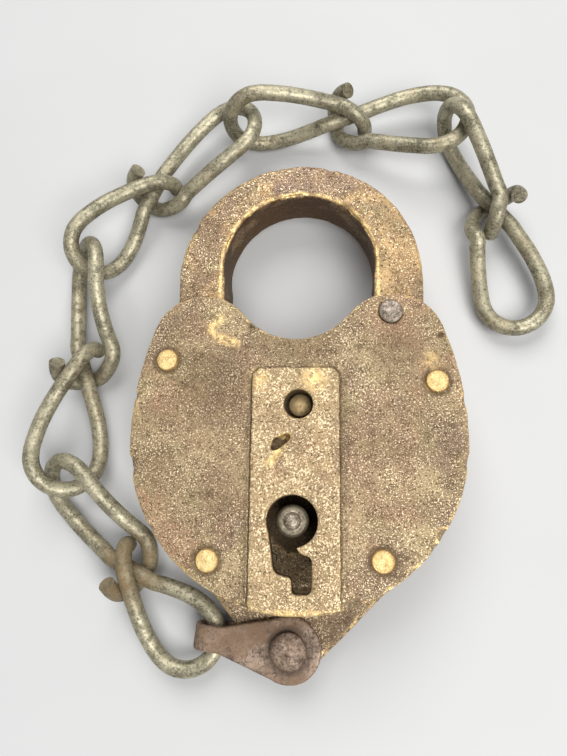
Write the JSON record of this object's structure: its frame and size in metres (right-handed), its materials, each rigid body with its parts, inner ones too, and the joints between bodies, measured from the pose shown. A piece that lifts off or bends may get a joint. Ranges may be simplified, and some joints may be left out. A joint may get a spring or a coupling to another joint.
{
  "type": "padlock",
  "caption": "Old heart-shaped brass lever padlock lying on its back, with a pivoting shackle and a chain of knotted wire links held to its lug by a folded strap",
  "frame": {"origin": "middle of the round lower half of the case, on the flat back face", "axes": "+X to the right of the face, +Y to the shackle, +Z out of the face with the keyhole"},
  "size_m": [0.1075, 0.1244, 0.0189],
  "materials": {
    "cast_brass": "browned cast brass, finely pitted, worn bright on its edges",
    "shackle_brass": "browned cast brass, purplish at the crown, worn bright inside",
    "bright_brass": "rubbed rivet brass",
    "inner_brass": "dull plate brass",
    "pin_steel": "grey steel with rust at its rim",
    "post_steel": "dark oiled steel",
    "spring_steel": "blued spring steel",
    "strap_steel": "rusted purplish-brown steel",
    "wire_steel": "dull galvanised wire with dark mottling and rust spots"
  },
  "bodies": {
    "lock_case": {"case_back": "cast_brass", "case_front": "cast_brass", "case_rivet_1": "bright_brass", "case_rivet_2": "bright_brass", "case_rivet_3": "bright_brass", "case_rivet_4": "bright_brass", "shackle_pin": "pin_steel", "key_post": "post_steel", "keyway_ring": "inner_brass", "tumbler_post": "post_steel", "dog_post": "post_steel", "kick_spring": "spring_steel", "strap_rivet": "strap_steel"},
    "shackle": {"shackle": "shackle_brass"},
    "dog": {"locking_dog": "inner_brass", "dog_spring": "spring_steel"},
    "tumbler_a": {"tumbler_1": "inner_brass", "tumbler_spring_1": "spring_steel"},
    "tumbler_b": {"tumbler_2": "inner_brass", "tumbler_spring_2": "spring_steel"},
    "tumbler_c": {"tumbler_3": "inner_brass", "tumbler_spring_3": "spring_steel"},
    "strap": {"chain_strap": "strap_steel"},
    "link_1": {"chain_link_1": "wire_steel"},
    "link_2": {"chain_link_2": "wire_steel"},
    "link_3": {"chain_link_3": "wire_steel"},
    "link_4": {"chain_link_4": "wire_steel"},
    "link_5": {"chain_link_5": "wire_steel"}
  },
  "joints": [
    {"name": "shackle_swing", "type": "hinge", "parent": "lock_case", "child": "shackle", "pos_m": [0.0177, 0.0236, 0.009], "axis": [0, 0, 1], "range_deg": [-36, 0]},
    {"name": "dog_turn", "type": "hinge", "parent": "lock_case", "child": "dog", "pos_m": [-0.008, 0.002, 0.0055], "axis": [0, 0, 1], "range_deg": [0, 20]},
    {"name": "tumbler_a_turn", "type": "hinge", "parent": "lock_case", "child": "tumbler_a", "pos_m": [0.0006, 0.0065, 0.008], "axis": [0, 0, 1], "range_deg": [-8, 0]},
    {"name": "tumbler_b_turn", "type": "hinge", "parent": "lock_case", "child": "tumbler_b", "pos_m": [0.0006, 0.0065, 0.0096], "axis": [0, 0, 1], "range_deg": [-8, 0]},
    {"name": "tumbler_c_turn", "type": "hinge", "parent": "lock_case", "child": "tumbler_c", "pos_m": [0.0006, 0.0065, 0.0112], "axis": [0, 0, 1], "range_deg": [-8, 0]},
    {"name": "strap_swing", "type": "hinge", "parent": "lock_case", "child": "strap", "pos_m": [-0.0017, -0.0387, 0.0044], "axis": [0, 0, 1], "range_deg": [0, 4]},
    {"name": "link_1_swing", "type": "hinge", "parent": "strap", "child": "link_1", "pos_m": [-0.0219, -0.0368, 0.0048], "axis": [0, 0, 1], "range_deg": [0, 5]},
    {"name": "link_2_swing", "type": "hinge", "parent": "link_1", "child": "link_2", "pos_m": [-0.049, -0.0036, 0.0066], "axis": [0, 0, 1], "range_deg": [0, 12]},
    {"name": "link_3_swing", "type": "hinge", "parent": "link_2", "child": "link_3", "pos_m": [-0.0442, 0.0443, 0.0072], "axis": [0, 0, 1], "range_deg": [0, 30]},
    {"name": "link_4_swing", "type": "hinge", "parent": "link_3", "child": "link_4", "pos_m": [-0.0173, 0.0705, 0.0081], "axis": [0, 0, 1], "range_deg": [0, 45]},
    {"name": "link_5_swing", "type": "hinge", "parent": "link_4", "child": "link_5", "pos_m": [0.0283, 0.0697, 0.0082], "axis": [0, 0, 1], "range_deg": [-4, 60]}
  ],
  "couplings": [
    {"joint": "tumbler_a_turn", "follows": "dog_turn", "ratio": -0.4},
    {"joint": "tumbler_b_turn", "follows": "dog_turn", "ratio": -0.4},
    {"joint": "tumbler_c_turn", "follows": "dog_turn", "ratio": -0.4}
  ]
}
